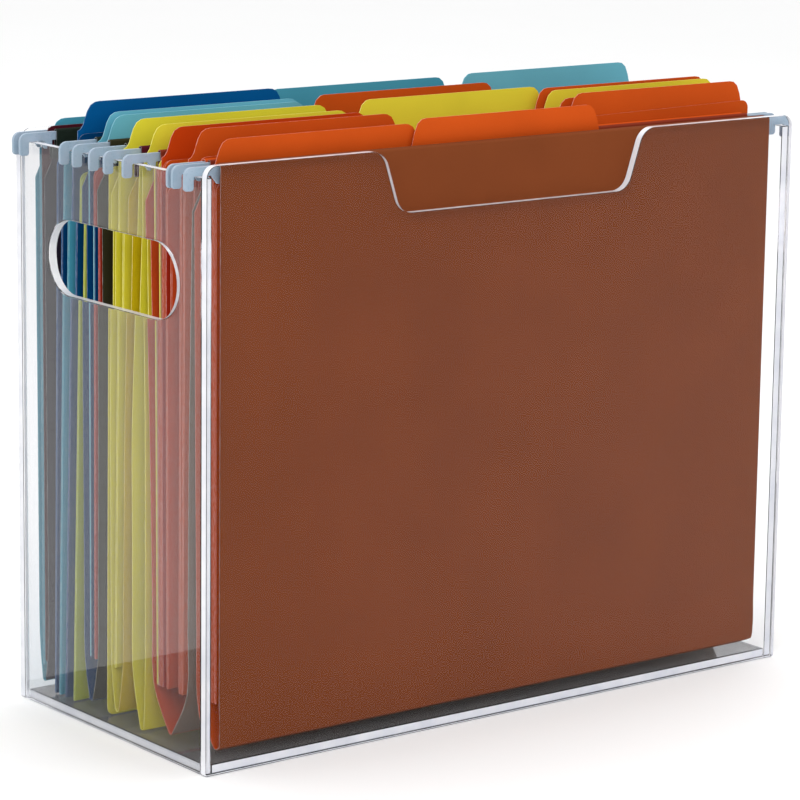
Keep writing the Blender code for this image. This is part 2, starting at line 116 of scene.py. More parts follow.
# Rails
HOOK_THICKNESS = 0.0014
HOOK_START = 0.1459
HOOK_INNER = 0.1590
HOOK_BOTTOM = 0.2395
TOOTH_INNER = 0.1475
TOOTH_OUTER = 0.1515
TOOTH_BOTTOM = 0.2418
TOOTH_LEAN = 0.0002
TOOTH_FOOT = 0.0012
HOOK_REST_GAP = 0.0003
HOOK_TOP_RADIUS = 0.0034
HOOK_ARC_STEPS = 6
HOOK_INSIDE_CHAMFER = 0.0008
HOOK_INNER_CHAMFER = 0.0010
HOOK_OUTER_CHAMFER = 0.0012
CHAMFER_BULGE = 0.0003
CLAW_BULGE = 0.0004
HOOK_EDGE = 0.00022
STRIP_THICKNESS = 0.0008
STRIP_OVERLAP = 0.0002
STRIP_SHOULDER = 0.0015
STRIP_TOP_GAP = 0.0001
EDGE_SEGMENTS = 2
EDGE_ANGLE = math.radians(35)

# Acrylic panels
PANEL_EDGE = 0.0004
TOP_CORNER = 0.005
DIP_RIM_HALF = 0.07025
DIP_FLOOR_HALF = 0.0615
DIP_DEPTH = 0.0265
DIP_RADIUS = 0.0085
SLOT_CENTRE_Y = -0.002
SLOT_CENTRE_Z = 0.1995
SLOT_LENGTH = 0.096
SLOT_RADIUS = 0.016
SLOT_STEPS = 24
CORNER_STEPS = 12

# Clear acrylic: how much each face lets through, and how strongly it reflects
CLEAR_TINT = 0.985
LEFT_TINT = 0.80
# Painted shade: the bottom panel lets little through, so the floor seen through it is dark like the
# shadow beneath the box
BOTTOM_SHADE_TINT = 0.28
FACING_GLOSS = 0.02
SIDE_GLOSS = 1.0
ACRYLIC_IOR = 1.49
SHADOW_TINT = (0.94, 0.945, 0.95, 1.0)

# Studio
WORLD_STRENGTH = 1.0
KEY_POWER = 22.0
KEY_PLACE = (-1.2, -1.6, 1.7)
KEY_TARGET = (0.0, 0.0, 0.12)
KEY_SIZE = 1.4
TOP_POWER = 10.0
TOP_PLACE = (0.2, 0.3, 1.8)
TOP_TARGET = (0.0, 0.0, 0.15)
TOP_SIZE = 1.6
FLOOR_REACH = 12.0
FLOOR_DROP = 0.0003
FLOOR_GREYS = ((0.93, 0.93, 0.93, 1.0), (0.95, 0.95, 0.95, 1.0))
# A dark board and a bright one lie on the floor to the left, where only the gloss of the side
# panel sees them. They meet at BOARD_SPLIT along Y.
BOARD_SPLIT = 0.090
BOARD_FRONT = -0.100
BOARD_RIGHT = -0.165
BOARD_REACH = 2.0
BRIGHT_BOARD = 0.85

# Colours as sRGB hex
PALETTE = {
    "blue": "#005089", "deep_blue": "#003A68", "teal": "#4796AB", "light_teal": "#66ADBF",
    "yellow": "#D3C936", "gold": "#BFA60F", "orange": "#BE4B13", "deep_orange": "#B53A08",
    "red": "#A32A16", "lime": "#A9B23C", "olive": "#2E2C1A", "green_black": "#1B241D",
    "maroon": "#4A1420", "red_brown": "#7A2E1C", "tan": "#B08258", "brown": "#70381B",
    "rust": "#B8441C", "plum": "#2A2230", "drab": "#7A6656",
}


HOOK_COLOURS = ("#8DA2B3", "#99A8B8")


def linear(hex_colour):
    """An sRGB hex colour as linear RGBA."""
    channels = []
    for start in (1, 3, 5):
        value = int(hex_colour[start:start + 2], 16) / 255
        if value <= 0.04045:
            channels.append(value / 12.92)
        else:
            channels.append(((value + 0.055) / 1.055) ** 2.4)
    return (*channels, 1.0)


def towards_white(colour, share):
    """A colour moved a share of the way to white."""
    return tuple(c + (1.0 - c) * share for c in colour[:3]) + (1.0,)


# ---------------------------------------------------------------- materials

class Tree:
    """A material's node tree, with a short way to add and link nodes."""

    def __init__(self, name):
        self.material = bpy.data.materials.new(name)
        self.material.use_nodes = True
        self.tree = self.material.node_tree
        self.shader = self.tree.nodes["Principled BSDF"]
        self.output = self.tree.nodes["Material Output"]

    def add(self, kind, **values):
        node = self.tree.nodes.new(kind)
        for key, value in values.items():
            setattr(node, key, value)
        return node

    def link(self, source, target):
        self.tree.links.new(source, target)

    def noise(self, scale, detail=2.0, roughness=0.5, stretch=(1, 1, 1)):
        """A noise texture in the object's own space, stretched along its axes."""
        place = self.add("ShaderNodeTexCoord")
        mapping = self.add("ShaderNodeMapping")
        mapping.inputs["Scale"].default_value = stretch
        texture = self.add("ShaderNodeTexNoise")
        texture.inputs["Scale"].default_value = scale
        texture.inputs["Detail"].default_value = detail
        texture.inputs["Roughness"].default_value = roughness
        self.link(place.outputs["Object"], mapping.inputs["Vector"])
        self.link(mapping.outputs["Vector"], texture.inputs["Vector"])
        return texture.outputs["Fac"]

    def remap(self, value, low, high, to_low, to_high):
        node = self.add("ShaderNodeMapRange")
        node.inputs["From Min"].default_value = low
        node.inputs["From Max"].default_value = high
        node.inputs["To Min"].default_value = to_low
        node.inputs["To Max"].default_value = to_high
        self.link(value, node.inputs["Value"])
        return node.outputs["Result"]

    def mix(self, factor, first, second):
        """Blends two colours, each a colour value or a socket."""
        node = self.add("ShaderNodeMix", data_type="RGBA")
        self.link(factor, node.inputs["Factor"])
        for value, name in ((first, "A"), (second, "B")):
            if isinstance(value, tuple):
                colour_input(node, name).default_value = value
            else:
                self.link(value, colour_input(node, name))
        return [o for o in node.outputs if o.type == "RGBA"][0]

    def bump(self, height, strength, distance):
        node = self.add("ShaderNodeBump")
        node.inputs["Strength"].default_value = strength
        node.inputs["Distance"].default_value = distance
        self.link(height, node.inputs["Height"])
        return node.outputs["Normal"]


def colour_input(node, name):
    """A Mix node's colour input of that name, since it has one of each type."""
    return [i for i in node.inputs if i.type == "RGBA" and i.name == name][0]


def card_material(name, hex_colour):
    """Dyed card: cloudy dye, short fibres and a matt, slightly uneven surface."""
    t = Tree(name)
    base = linear(hex_colour)
    darker = tuple(c * 0.95 for c in base[:3]) + (1.0,)
    lighter = tuple(min(c * 1.04, 1.0) for c in base[:3]) + (1.0,)
    cloud = t.remap(t.noise(22.0, 3.0), 0.35, 0.65, 0.0, 1.0)
    fibre = t.remap(t.noise(900.0, 4.0, 0.7, (0.35, 1.0, 1.0)), 0.40, 0.72, 0.0, 1.0)
    dyed = t.mix(cloud, darker, lighter)
    flecked = t.mix(t.remap(fibre, 0.70, 1.0, 0.0, 0.02), dyed, towards_white(base, 0.08))
    t.link(flecked, t.shader.inputs["Base Color"])
    t.link(t.remap(fibre, 0.0, 1.0, 0.66, 0.80), t.shader.inputs["Roughness"])
    t.link(t.bump(cloud, 0.02, 0.0003), t.shader.inputs["Normal"])
    t.shader.inputs["Specular IOR Level"].default_value = 0.05
    return t.material


def cut_edge_material(name, hex_colour):
    """The cut rim of a card, where its paler core shows in layers."""
    t = Tree(name)
    core = towards_white(linear(hex_colour), 0.22)
    dyed = towards_white(linear(hex_colour), 0.04)
    layers = t.remap(t.noise(1400.0, 3.0, 0.6, (0.3, 1.0, 0.3)), 0.35, 0.65, 0.0, 1.0)
    t.link(t.mix(layers, dyed, core), t.shader.inputs["Base Color"])
    t.link(t.bump(layers, 0.3, 0.0001), t.shader.inputs["Normal"])
    t.shader.inputs["Roughness"].default_value = 0.8
    t.shader.inputs["Specular IOR Level"].default_value = 0.1
    return t.material


def acrylic_material(name, tint, gloss):
    """Clear cast acrylic. Light from the studio passes straight through it to what is inside."""
    t = Tree(name)
    t.shader.inputs["Base Color"].default_value = (tint, tint * 1.003, min(tint * 1.015, 1.0), 1.0)
    t.shader.inputs["Transmission Weight"].default_value = 1.0
    t.shader.inputs["IOR"].default_value = ACRYLIC_IOR
    t.shader.inputs["Specular Tint"].default_value = (gloss, gloss, gloss, 1.0)
    haze = t.noise(60.0, 2.0)
    t.link(t.remap(haze, 0.3, 0.7, 0.0, 0.003), t.shader.inputs["Roughness"])
    clear = t.add("ShaderNodeBsdfTransparent")
    clear.inputs["Color"].default_value = SHADOW_TINT
    path = t.add("ShaderNodeLightPath")
    either = t.add("ShaderNodeMath", operation="MAXIMUM")
    t.link(path.outputs["Is Shadow Ray"], either.inputs[0])
    t.link(path.outputs["Is Diffuse Ray"], either.inputs[1])
    blend = t.add("ShaderNodeMixShader")
    t.link(either.outputs["Value"], blend.inputs["Fac"])
    t.link(t.shader.outputs["BSDF"], blend.inputs[1])
    t.link(clear.outputs["BSDF"], blend.inputs[2])
    t.link(blend.outputs["Shader"], t.output.inputs["Surface"])
    return t.material


def painted_light_edge_material():
    """A panel's cut edge, painted pale to stand in for the light that the sheet carries to its edges,
    with faint saw marks.
    """
    t = Tree("acrylic_edge")
    marks = t.remap(t.noise(70.0, 3.0, 0.6), 0.35, 0.65, 0.0, 1.0)
    # Painted light: the pale lavender stands in for the light the sheet carries to its cut edge; the
    # noise gives faint saw marks
    t.link(t.mix(marks, (0.80, 0.81, 0.87, 1.0), (0.93, 0.93, 0.96, 1.0)), t.shader.inputs["Base Color"])
    t.link(t.remap(marks, 0.0, 1.0, 0.16, 0.26), t.shader.inputs["Roughness"])
    t.link(t.bump(marks, 0.04, 0.0003), t.shader.inputs["Normal"])
    t.shader.inputs["Transmission Weight"].default_value = 0.15
    t.shader.inputs["IOR"].default_value = ACRYLIC_IOR
    return t.material


def hook_material():
    """Pale blue-grey moulded plastic, milky, with soft gloss."""
    t = Tree("hook_plastic")
    cloud = t.remap(t.noise(180.0, 3.0), 0.3, 0.7, 0.0, 1.0)
    t.link(t.mix(cloud, linear(HOOK_COLOURS[0]), linear(HOOK_COLOURS[1])), t.shader.inputs["Base Color"])
    t.link(t.remap(t.noise(700.0, 2.0), 0.3, 0.7, 0.26, 0.36), t.shader.inputs["Roughness"])
    t.link(t.bump(cloud, 0.04, 0.0003), t.shader.inputs["Normal"])
    t.shader.inputs["Specular IOR Level"].default_value = 0.35
    return t.material


# Materials made so far, by name
MADE = {}


def card(colour):
    """The card material of a palette colour, made once."""
    if colour not in MADE:
        MADE[colour] = card_material(f"card_{colour}", PALETTE[colour])
    return MADE[colour]


def cut_edge(colour):
    """The material of that colour's cut rim, made once."""
    key = f"edge_{colour}"
    if key not in MADE:
        MADE[key] = cut_edge_material(f"cut_{colour}", PALETTE[colour])
    return MADE[key]


# ---------------------------------------------------------------- bent cards

def smooth(points, step):
    """Points about a step apart on a smooth curve through the given ones."""
    curve = []
    for index in range(len(points) - 1):
        start, end = Vector(points[index]), Vector(points[index + 1])
        before = Vector(points[max(index - 1, 0)])
        after = Vector(points[min(index + 2, len(points) - 1)])
        length = (end - start).length
        if length < 1e-9:
            continue
        leave = (end - before).normalized() * length
        arrive = (after - start).normalized() * length
        count = max(1, math.ceil(length / step))
        for part in range(count):
            t = part / count
            curve.append(start * (2 * t ** 3 - 3 * t ** 2 + 1) + leave * (t ** 3 - 2 * t ** 2 + t)
                         + end * (3 * t ** 2 - 2 * t ** 3) + arrive * (t ** 3 - t ** 2))
    curve.append(Vector(points[-1]))
    return curve


class Path:
    """A card's way through YZ, measured along its length."""

    def __init__(self, points):
        self.points = [Vector(p) for p in points]
        self.lengths = [0.0]
        for first, second in zip(self.points, self.points[1:]):
            self.lengths.append(self.lengths[-1] + (second - first).length)
        self.total = self.lengths[-1]
        self.normals = [self.normal(index) for index in range(len(self.points))]

    def normal(self, index):
        before = self.points[max(index - 1, 0)]
        after = self.points[min(index + 1, len(self.points) - 1)]
        along = (after - before).normalized()
        return Vector((-along.y, along.x))

    def at(self, distance):
        """The (y, z) point and the normal at a distance along the way."""
        distance = min(max(distance, 0.0), self.total)
        index = 0
        while index < len(self.points) - 2 and self.lengths[index + 1] < distance:
            index += 1
        span = self.lengths[index + 1] - self.lengths[index]
        share = (distance - self.lengths[index]) / span if span > 0 else 0.0
        point = self.points[index].lerp(self.points[index + 1], share)
        normal = self.normals[index].lerp(self.normals[index + 1], share).normalized()
        return point, normal


def lined(outline, cuts_x, cuts_s):
    """A flat face with this outline, divided by straight lines across it both ways."""
    shape = bmesh.new()
    shape.faces.new([shape.verts.new((x, s, 0.0)) for x, s in outline])
    for axis, cuts in ((0, cuts_x), (1, cuts_s)):
        for cut in cuts:
            place, normal = [0.0, 0.0, 0.0], [0.0, 0.0, 0.0]
            place[axis], normal[axis] = cut, 1.0
            everything = shape.verts[:] + shape.edges[:] + shape.faces[:]
            bmesh.ops.bisect_plane(shape, geom=everything, dist=TOLERANCE, plane_co=place,
                                   plane_no=normal)
    return shape


def bent_card(outline, path, colours, slot_at, warp, node, name):
    """Cuts a card to its outline, bends it along its path and gives it its thickness.

    colours names the card's colours, slot_at says which of them a place along the path has, and
    warp moves each point along Y.
    """
    xs = [x for x, _ in outline]
    count = math.ceil((max(xs) - min(xs)) / GRID_STEP)
    cuts_x = [min(xs) + (max(xs) - min(xs)) * i / count for i in range(1, count)]
    flat = lined(outline, cuts_x, path.lengths[1:-1])
    flat.verts.index_update()
    skins = {1: [], -1: []}
    for vertex in flat.verts:
        x, s, _ = vertex.co
        (y, z), normal = path.at(s)
        y += warp(x, z)
        for side in skins:
            skins[side].append((x, y + normal.x * side * CARD / 2, z + normal.y * side * CARD / 2))
    total = len(flat.verts)
    faces, slots = [], []
    for face in flat.faces:
        corners = [v.index for v in face.verts]
        slot = slot_at(face.calc_center_median().y)
        faces += [corners, [index + total for index in reversed(corners)]]
        slots += [slot, slot]
    for edge in flat.edges:
        if edge.is_boundary:
            a, b = (v.index for v in edge.verts)
            faces.append([a, b, b + total, a + total])
            slots.append(len(colours) + slot_at((edge.verts[0].co.y + edge.verts[1].co.y) / 2))
    flat.free()
    mesh = bpy.data.meshes.new(name)
    mesh.from_pydata(skins[1] + skins[-1], [], faces)
    for polygon, slot in zip(mesh.polygons, slots):
        polygon.material_index = slot
    tidy = bmesh.new()
    tidy.from_mesh(mesh)
    bmesh.ops.recalc_face_normals(tidy, faces=tidy.faces)
    tidy.to_mesh(mesh)
    tidy.free()
    mesh.shade_smooth()
    mesh.set_sharp_from_angle(angle=SHARP_ANGLE)
    for make in (card, cut_edge):
        for colour in colours:
            mesh.materials.append(make(colour))
    add_piece(name, mesh, node)


def corner(x, s, inward_x, inward_s, radius, steps=5):
    """Points that round a card's corner at (x, s), from its side round to its end."""
    points = []
    for step in range(steps + 1):
        angle = math.pi / 2 * step / steps
        points.append((x + inward_x * radius * (1 - math.sin(math.pi / 2 - angle)),
                       s + inward_s * radius * (1 - math.sin(angle))))
    return points


def ripple(seed, amount):
    """A slight, smooth unevenness, different for each card."""
    rate_x, rate_z, rate_seed = RIPPLE_RATE

    def warp(x, z):
        return amount * noise.noise(Vector((x * rate_x, z * rate_z, seed * rate_seed)))
    return warp


# ---------------------------------------------------------------- what each card is

BODY_OF = {}
for body_name, node_names in frame["record"]["behaviour"]["bodies"].items():
    for node_name in node_names:
        BODY_OF[node_name] = body_name

# File folders: tab, colour of the rear leaf, colour of the front leaf, whether the fold stands
# further back than the top
FILES = {
    "teal_rear_file": ("left", "teal", "teal", True),
    "blue_right_file": ("right", "blue", "deep_blue", True),
    "teal_centre_file": ("centre", "teal", "teal", True),
    "blue_left_file": ("left", "blue", "deep_blue", True),
    "lime_divider": (None, "lime", "lime", True),
    "teal_left_file": ("left", "light_teal", "deep_blue", True),
    "teal_right_file": ("right", "light_teal", "deep_blue", True),
    "teal_front_file": ("left", "light_teal", "deep_blue", True),
    "red_divider": (None, "red", "red", True),
    "orange_centre_file": ("centre", "orange", "olive", True),
    "yellow_rear_file": ("left", "yellow", "yellow", True),
    "yellow_centre_file": ("centre", "yellow", "tan", False),
    "orange_left_file": ("left", "deep_orange", "rust", False),
    "orange_rear_file": ("right", "orange", "red", False),
    "yellow_right_file": ("right", "yellow", "red", False),
    "orange_divider": (None, "orange", "rust", False),
    "orange_hidden_file": ("right", "orange", "orange", True),
    "orange_middle_file": ("left", "orange", "orange", True),
    "orange_right_file": ("right", "orange", "orange", True),
    "orange_front_file": ("left", "orange", "orange", False),
    "orange_mid_front_file": ("centre", "orange", "orange", False),
}
# One folder's front leaf stands above its rear leaf's shoulder: its drops at the left and the right
FRONT_LEAF_DROPS = {"orange_right_file": (-0.0040, -0.0086)}

# Single cards: colour and the seed of the card's unevenness
SINGLE_CARDS = {"maroon_divider": ("maroon", 31), "yellow_insert": ("yellow", 32)}

# Hanging sheets: colours of the rear leaf, the front leaf, the rear sleeve and the front sleeve
SHEETS = {
    "hanging_1": ("teal", "plum", "maroon", "green_black"),
    "hanging_2": ("deep_blue", "olive", "green_black", "olive"),
    "hanging_3": ("yellow", "gold", "olive", "maroon"),
    "hanging_4": ("rust", "drab", "red_brown", "orange"),
    "hanging_5": ("orange", "brown", "red_brown", "brown"),
}


def tab_outline(span, half, start):
    """The end of a card with a tab: from the left side to the right, up to s = 0 at the tab's top."""
    left, right = span
    rising = [(left + inset, start * (1.0 - share)) for inset, share in TAB_SIDE]
    falling = [(right - inset, start * (1.0 - share)) for inset, share in reversed(TAB_SIDE)]
    points = rising + falling
    if left > -half + TOLERANCE:
        points = corner(-half, start, 1, 1, LEAF_CORNER) + points
    if right < half - TOLERANCE:
        points += [(-x, s) for x, s in reversed(corner(-half, start, 1, 1, LEAF_CORNER))]
    return points


def file_folder(index, name, look):
    """A folded card: the rear leaf with its tab, the fold, and the front leaf."""
    tab, rear_colour, front_colour, foot_back = look
    low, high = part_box(name)
    half_thick = CARD_GAP / 2 + CARD
    ends = (low[1] + half_thick, high[1] - half_thick)
    top_y, fold_y = ends if foot_back else ends[::-1]
    middle, half = (low[0] + high[0]) / 2, (high[0] - low[0]) / 2
    top, fold = high[2], low[2] + CARD / 2
    rise = TAB_RISES[tab] if tab else 0.0
    offset = (CARD_GAP + CARD) / 2
    left_drop, right_drop = FRONT_LEAF_DROPS.get(name, (FRONT_LEAF_DROP, FRONT_LEAF_DROP))
    front_top = top - rise - right_drop
    front_y = top_y + (fold_y - top_y) * (top - front_top) / (top - fold)
    points = [(top_y + offset, top), (fold_y + offset, fold + offset)]
    for step in range(1, FOLD_STEPS):
        angle = math.pi * step / FOLD_STEPS
        points.append((fold_y + offset * math.cos(angle), fold + offset - offset * math.sin(angle)))
    points += [(fold_y - offset, fold + offset), (front_y - offset, front_top)]
    path = Path(straight(points, GRID_STEP))
    rear_length = Path(points[:2]).total
    if tab:
        end = tab_outline(TAB_SPANS[tab], half, rise)
    else:
        end = corner(-half, 0.0, 1, 1, LEAF_CORNER)
        end += [(-x, s) for x, s in reversed(end)]
    far = [(x, path.total - s) for x, s in corner(-half, 0.0, 1, 1, LEAF_CORNER)]
    lower = left_drop - right_drop
    outline = end + [(-x, s) for x, s in far] + [(x, s - lower) for x, s in far[::-1]]
    outline = [(middle + x, s) for x, s in outline]
    bent_card(outline, path, [rear_colour, front_colour],
              lambda s: 0 if s < rear_length else 1, ripple(index, CARD_RIPPLE), name, f"{name}_card")


def straight(points, step):
    """Adds points along each straight run, no more than a step apart."""
    result = [Vector(points[0])]
    for first, second in zip(points, points[1:]):
        first, second = Vector(first), Vector(second)
        count = max(1, math.ceil((second - first).length / step))
        result += [first.lerp(second, part / count) for part in range(1, count + 1)]
    return result


def single_card(name, colour, seed):
    """A plain card without a fold or a tab, with its foot behind its top."""
    low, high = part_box(name)
    top_y, foot_y = low[1] + CARD / 2, high[1] - CARD / 2
    path = Path(straight([(top_y, high[2]), (foot_y, low[2])], GRID_STEP))
    end = corner(low[0], 0.0, 1, 1, LEAF_CORNER)
    end += [(-x, s) for x, s in reversed(end)]
    outline = end + [(-x, path.total - s) for x, s in end]
    bent_card(outline, path, [colour], lambda s: 0, ripple(seed, SINGLE_RIPPLE), name,
              f"{name}_card")


def wall_centres(node, z):
    """Where a CAD card's walls stand along Y at a height, from back to front."""
    shape = bmesh.new()
    shape.from_mesh(frame["nodes"][node].data)
    everything = shape.verts[:] + shape.edges[:] + shape.faces[:]
    cut = bmesh.ops.bisect_plane(shape, geom=everything, dist=1e-7, plane_co=(0, 0, z),
                                 plane_no=(0, 0, 1))["geom_cut"]
    places = sorted({round(e.co.y, 5) for e in cut if isinstance(e, bmesh.types.BMVert)}, reverse=True)
    shape.free()
    faces = []
    for place in places:
        if not faces or faces[-1] - place > WALL_MERGE:
            faces.append(place)
    return [(first + second) / 2 for first, second in zip(faces[::2], faces[1::2])]


def over_rail(outer_y, flap_y, spring):
    """The rounded top of a sleeve, from the flap's side over the rail to the outer side."""
    centre, half = (outer_y + flap_y) / 2, (outer_y - flap_y) / 2
    points = []
    for step in range(SLEEVE_STEPS + 1):
        angle = math.pi * (1 - step / SLEEVE_STEPS)
        points.append((centre + half * math.cos(angle), spring + SLEEVE_RISE * math.sin(angle)))
    return points


def leaf_down(node, side, heights):
    """The way down one leaf of a hanging sheet; side is 0 for the rear leaf and -1 for the front."""
    return [(wall_centres(node, z)[side], z) for z in heights]


def cover_side(half, side, radius, fold, total):
    """One side of the cover leaf, from the fold up to the end of its flap, mirrored to -X."""
    reach = abs(side)
    foot = fold + COVER_FOOT
    head = total - FLAP_LENGTH
    lower = corner(-reach, foot, 1, 1, radius)[::-1]
    return ([(-half, fold - COVER_TOP_CORNER), (-reach + radius, fold)] + lower
            + [(-reach, head - COVER_TOP_CORNER), (-SLEEVE_END_HALF, head), (-SLEEVE_END_HALF, total)])


def middle_y(node):
    """Halfway along Y through a CAD solid's box."""
    low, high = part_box(node)
    return (low[1] + high[1]) / 2


def sheet_ripple(index, covered):
    """A hanging sheet's unevenness, which fades out at its rails and its fold."""
    rate_x, rate_z, rate_seed = SHEET_RIPPLE_RATE

    def warp(x, z):
        if covered and z > 0.0:
            return 0.0
        share = min(max((RIPPLE_TOP - z) / (RIPPLE_TOP - RIPPLE_BOTTOM), 0.0), 1.0)
        wave = noise.noise(Vector((x * rate_x, z * rate_z, index * rate_seed)))
        return SHEET_RIPPLE * math.sin(math.pi * share) * wave
    return warp


def hanging_sheet(index, name, colours):
    """A sheet from one sleeve down to the fold and up to the other sleeve."""
    node = f"{name}_sheet"
    low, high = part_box(node)
    spring = high[2] - CARD / 2 - SLEEVE_RISE
    rear_y = middle_y(f"{name}_rear_rail")
    front_y = middle_y(f"{name}_front_rail")
    covered = name == COVERED
    cover_y = low[1] + CARD / 2
    rear = over_rail(rear_y + SLEEVE_HALF, rear_y - SLEEVE_HALF, spring)
    rear = [(rear[0][0], spring - FLAP_LENGTH)] + rear
    front_outer = cover_y if covered else front_y - SLEEVE_HALF
    front = over_rail(front_outer, front_y + SLEEVE_HALF, spring)
    front = [(front[0][0], spring - FLAP_LENGTH)] + front
    sleeve_length = Path(rear).total + FLAP_LENGTH
    front_sleeve = Path(front).total + FLAP_LENGTH
    rear += leaf_down(node, 0, LEAF_HEIGHTS)
    if covered:
        front += [(cover_y, z) for z in LEAF_HEIGHTS] + [(cover_y, low[2] + COVER_STRAIGHT_FOOT)]
    else:
        front += leaf_down(node, -1, LEAF_HEIGHTS)
    tip_y = (wall_centres(node, TIP_HEIGHT)[0] + wall_centres(node, TIP_HEIGHT)[-1]) / 2
    fold_z = low[2] + CARD / 2
    bottom = [(tip_y + FOLD_HALF, fold_z + FOLD_RISE), (tip_y, fold_z),
              (tip_y - FOLD_HALF, fold_z + FOLD_RISE)]
    if covered:
        bottom = bottom[:2]
    path = Path(smooth(rear + bottom + front[::-1], CURVE_STEP))
    fold = Path(smooth(rear + bottom, CURVE_STEP)).total
    end, half = SLEEVE_END_HALF, high[0]
    notch = NOTCH_END - NOTCH_START
    left = [(-end, 0.0), (-end, sleeve_length), (-half, sleeve_length + notch)]
    if covered:
        sides = [left + cover_side(half, side, radius, fold, path.total)
                 for side, radius in COVER_SIDES]
    else:
        left += [(-half, path.total - front_sleeve - notch), (-end, path.total - front_sleeve),
                 (-end, path.total)]
        sides = [left, left]
    outline = sides[0][::-1] + [(-x, s) for x, s in sides[1]]

    def slot_at(s):
        if s < sleeve_length:
            return 2
        if s > path.total - front_sleeve:
            return 3
        return 0 if s < fold else 1

    bent_card(outline, path, list(colours), slot_at, sheet_ripple(index, covered), node,
              f"{name}_card")


def open_file(name):
    """The yellow file that stands with its leaves apart."""
    low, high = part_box(name)
    rise = TAB_RISES["left"]
    shoulder = high[2] - rise
    rear = [(wall_centres(name, high[2] - END_MARGIN)[0], high[2])]
    rear += leaf_down(name, 0, (shoulder, *OPEN_HEIGHTS))
    front = leaf_down(name, -1, OPEN_HEIGHTS)
    front = [(front[0][0] + OPEN_FRONT_FORWARD, shoulder - OPEN_FRONT_DROP)] + front
    tip_y = sum(wall_centres(name, low[2] + END_MARGIN)) / 2
    bottom = [(tip_y + FOLD_HALF, low[2] + CARD), (tip_y, low[2] + CARD / 2),
              (tip_y - FOLD_HALF, low[2] + CARD)]
    path = Path(smooth(rear + bottom + front[::-1], CURVE_STEP))
    fold = Path(smooth(rear + bottom[:2], CURVE_STEP)).total
    end = tab_outline(TAB_SPANS["left"], high[0], rise)
    far = [(x, path.total - s) for x, s in corner(-high[0], 0.0, 1, 1, OPEN_CORNER)]
    outline = end + [(-x, s) for x, s in far] + far[::-1]
    bent_card(outline, path, ["yellow", "yellow"], lambda s: 0 if s < fold else 1,
              ripple(OPEN_SEED, OPEN_RIPPLE), name, f"{name}_card")


def cards():
    """Every folder, card and hanging sheet."""
    for index, (name, look) in enumerate(FILES.items()):
        file_folder(index, name, look)
    for name, (colour, seed) in SINGLE_CARDS.items():
        single_card(name, colour, seed)
    open_file("yellow_left_file")
    for index, (name, colours) in enumerate(SHEETS.items()):
        hanging_sheet(index, name, colours)


# ---------------------------------------------------------------- rails and box

def prism_faces(shape, outline, low, high):
    """Adds an outline in XZ to a bmesh, extruded from low to high along Y."""
    near = [shape.verts.new((x, low, z)) for x, z in outline]
    far = [shape.verts.new((x, high, z)) for x, z in outline]
    shape.faces.new(near)
    shape.faces.new(far[::-1])
    for index in range(len(outline)):
        after = (index + 1) % len(outline)
        shape.faces.new([near[after], near[index], far[index], far[after]])


def hook_outline(tip, top, rest):
    """A hook in XZ at +X: its arm, the tooth inside the side panel, and the outer claw."""
    inner, outer = HOOK_INNER_CHAMFER, HOOK_OUTER_CHAMFER
    hook = [(HOOK_START, top), (HOOK_START, rest), (TOOTH_INNER, rest),
            (TOOTH_INNER + TOOTH_LEAN, TOOTH_BOTTOM), (TOOTH_INNER + TOOTH_FOOT, TOOTH_BOTTOM),
            (TOOTH_OUTER, rest), (HOOK_INNER - HOOK_INSIDE_CHAMFER, rest),
            (HOOK_INNER - TOOTH_LEAN, rest - TOOTH_LEAN), (HOOK_INNER, rest - HOOK_INSIDE_CHAMFER),
            (HOOK_INNER, HOOK_BOTTOM + inner),
            (HOOK_INNER + CHAMFER_BULGE, HOOK_BOTTOM + CHAMFER_BULGE), (HOOK_INNER + inner, HOOK_BOTTOM),
            (tip - outer, HOOK_BOTTOM), (tip - CLAW_BULGE, HOOK_BOTTOM + CLAW_BULGE),
            (tip, HOOK_BOTTOM + outer)]
    for step in range(HOOK_ARC_STEPS + 1):
        angle = math.pi / 2 * step / HOOK_ARC_STEPS
        hook.append((tip - HOOK_TOP_RADIUS * (1 - math.cos(angle)),
                     top - HOOK_TOP_RADIUS * (1 - math.sin(angle))))
    return hook


def strip_outline(top, rest, bottom):
    """The thin strip between the two hooks, deeper inside the sleeve than at its ends."""
    end = HOOK_START + STRIP_OVERLAP
    deep = HOOK_START - STRIP_SHOULDER
    upper = top - STRIP_TOP_GAP
    return [(-end, rest), (-deep, rest), (-deep, bottom), (deep, bottom), (deep, rest), (end, rest),
            (end, upper), (-end, upper)]


def rail(node):
    """A hooked rail: the strip inside the sleeve and a thicker moulded hook at each end."""
    low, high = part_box(node)
    centre = middle_y(node)
    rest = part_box("left_panel")[1][2] + HOOK_REST_GAP
    hook = hook_outline(high[0], high[2], rest)
    shape = bmesh.new()
    half = HOOK_THICKNESS / 2
    prism_faces(shape, hook, centre - half, centre + half)
    prism_faces(shape, [(-x, z) for x, z in hook][::-1], centre - half, centre + half)
    half = STRIP_THICKNESS / 2
    prism_faces(shape, strip_outline(high[2], rest, low[2]), centre - half, centre + half)
    bmesh.ops.recalc_face_normals(shape, faces=shape.faces)
    mesh = bpy.data.meshes.new(node)
    shape.to_mesh(mesh)
    shape.free()
    mesh.materials.append(MADE["hook"])
    piece = add_piece(node + "_hooks", mesh, node)
    bevel(piece, HOOK_EDGE)


def add_piece(name, mesh, node):
    """Puts a mesh in the scene in place of a CAD node, moving with that node's body."""
    piece = bpy.data.objects.new(name, mesh)
    bpy.context.scene.collection.objects.link(piece)
    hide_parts(node)
    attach(piece, BODY_OF[node])
    return piece


